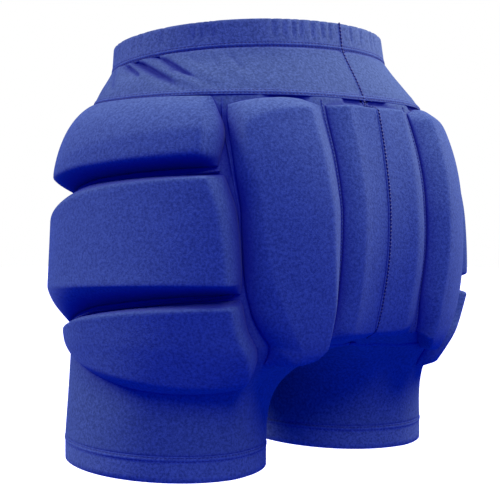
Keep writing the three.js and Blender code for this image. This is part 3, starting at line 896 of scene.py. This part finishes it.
# The camera: how far it is turned from the back to the left and how far down it looks, in degrees, how far
# off and how high it stands, in metres, and its lens and sensor in mm
CAMERA_TURN = 45.3
CAMERA_PITCH = 1.5
CAMERA_AWAY = 1.143
CAMERA_HEIGHT = -0.138
CAMERA_LENS = 92.45
CAMERA_SENSOR = 36.0
# The height that the near lamps point at, and the floor's height and size, in metres
LAMP_AIM = -0.05
FLOOR_HEIGHT = -0.75
FLOOR_SIZE = 12.0
# The white that the camera sees behind the shorts, and the colour and strength of the fill light on them
SEEN_WHITE = "#ffffff"
FILL_BLUE = "#1640ff"
FILL_STRENGTH = 1.5


def link_object(name, data):
    """An object of the studio, put into the scene"""
    item = bpy.data.objects.new(name, data)
    bpy.context.collection.objects.link(item)
    return item


def make_camera():
    """Stands behind the wearer's left side, level with the hips"""
    turn = math.radians(CAMERA_TURN)
    pitch = math.radians(CAMERA_PITCH)
    lens = bpy.data.cameras.new("camera")
    lens.lens = CAMERA_LENS
    lens.sensor_width = CAMERA_SENSOR
    camera = link_object("camera", lens)
    camera.location = (CAMERA_AWAY * math.sin(turn), CAMERA_AWAY * math.cos(turn), CAMERA_HEIGHT)
    level = math.cos(pitch)
    ahead = Vector((-math.sin(turn) * level, -math.cos(turn) * level, -math.sin(pitch)))
    camera.rotation_euler = ahead.to_track_quat("-Z", "Y").to_euler()
    bpy.context.scene.camera = camera


def seen_place(right, up, near):
    """A place told as seen from the camera: to the right of the waist, above it and nearer than it"""
    turn = math.radians(CAMERA_TURN)
    sight = Vector((-math.sin(turn), -math.cos(turn), 0))
    return Vector((-math.cos(turn), math.sin(turn), 0)) * right + Vector((0, 0, up)) - sight * near


def soft_lamp(name, right, up, near, strength, spread):
    """A wide, even lamp that shines from the side of a place towards the waist. spread is in degrees."""
    place = seen_place(right, up, near)
    lamp = bpy.data.lights.new(name, "SUN")
    lamp.energy = strength
    lamp.angle = math.radians(spread)
    link_object(name, lamp).rotation_euler = (-place).to_track_quat("-Z", "Y").to_euler()


def near_lamp(name, right, up, near, power, size):
    """A square lamp close to the waist, in metres and watts. Its light fades downwards."""
    place = seen_place(right, up, near)
    lamp = bpy.data.lights.new(name, "AREA")
    lamp.energy = power
    lamp.size = size
    lamp = link_object(name, lamp)
    lamp.location = place
    lamp.rotation_euler = (Vector((0, 0, LAMP_AIM)) - place).to_track_quat("-Z", "Y").to_euler()


def make_room():
    """White to the camera, and a blue fill light on the cloth, as from a blue reflector all round"""
    world = bpy.data.worlds.new("pale room")
    world.use_nodes = True
    tree = world.node_tree
    tree.nodes.clear()
    seen = add_node(tree, "ShaderNodeBackground", values={"Color": hex_colour(SEEN_WHITE)})
    fill = add_node(tree, "ShaderNodeBackground",
                    values={"Color": hex_colour(FILL_BLUE), "Strength": FILL_STRENGTH})
    rays = add_node(tree, "ShaderNodeLightPath")
    both = add_node(tree, "ShaderNodeMixShader", links={"Fac": rays.outputs["Is Camera Ray"]})
    tree.links.new(fill.outputs[0], both.inputs[1])
    tree.links.new(seen.outputs[0], both.inputs[2])
    add_node(tree, "ShaderNodeOutputWorld", links={"Surface": both.outputs[0]})
    bpy.context.scene.world = world


def make_floor():
    """A matt white floor that the camera sees, and that throws no light up onto the cloth"""
    bm = bmesh.new()
    bmesh.ops.create_grid(bm, x_segments=1, y_segments=1, size=FLOOR_SIZE)
    bmesh.ops.translate(bm, verts=bm.verts, vec=(0, 0, FLOOR_HEIGHT))
    mesh = bpy.data.meshes.new("floor")
    bm.to_mesh(mesh)
    bm.free()
    paint = bpy.data.materials.new("matt_white_paint")
    paint.use_nodes = True
    shader = paint.node_tree.nodes["Principled BSDF"]
    shader.inputs["Base Color"].default_value = hex_colour("#fffbf0")
    shader.inputs["Roughness"].default_value = 0.9
    shader.inputs["Emission Color"].default_value = hex_colour("#fffdf6")
    shader.inputs["Emission Strength"].default_value = 0.5
    mesh.materials.append(paint)
    floor = link_object("floor", mesh)
    floor.visible_diffuse = False
    floor.visible_glossy = False


bpy.context.scene.view_settings.view_transform = "Standard"
make_camera()
make_room()
make_floor()
near_lamp("lamp right", 0.6, 0.5, -0.15, 2.8, 0.25)
near_lamp("lamp above", 0.3, 0.55, 0.1, 2.8, 0.35)
soft_lamp("lamp left", -0.9, 0.7, -0.15, 2.8, 20)
soft_lamp("lamp over all", 0.2, 0.95, 0.05, 0.7, 30)
soft_lamp("lamp front", 0.3, 0.75, 0.6, 1.15, 25)
near_lamp("lamp far right", 0.75, 0.35, -0.3, 3.0, 0.3)
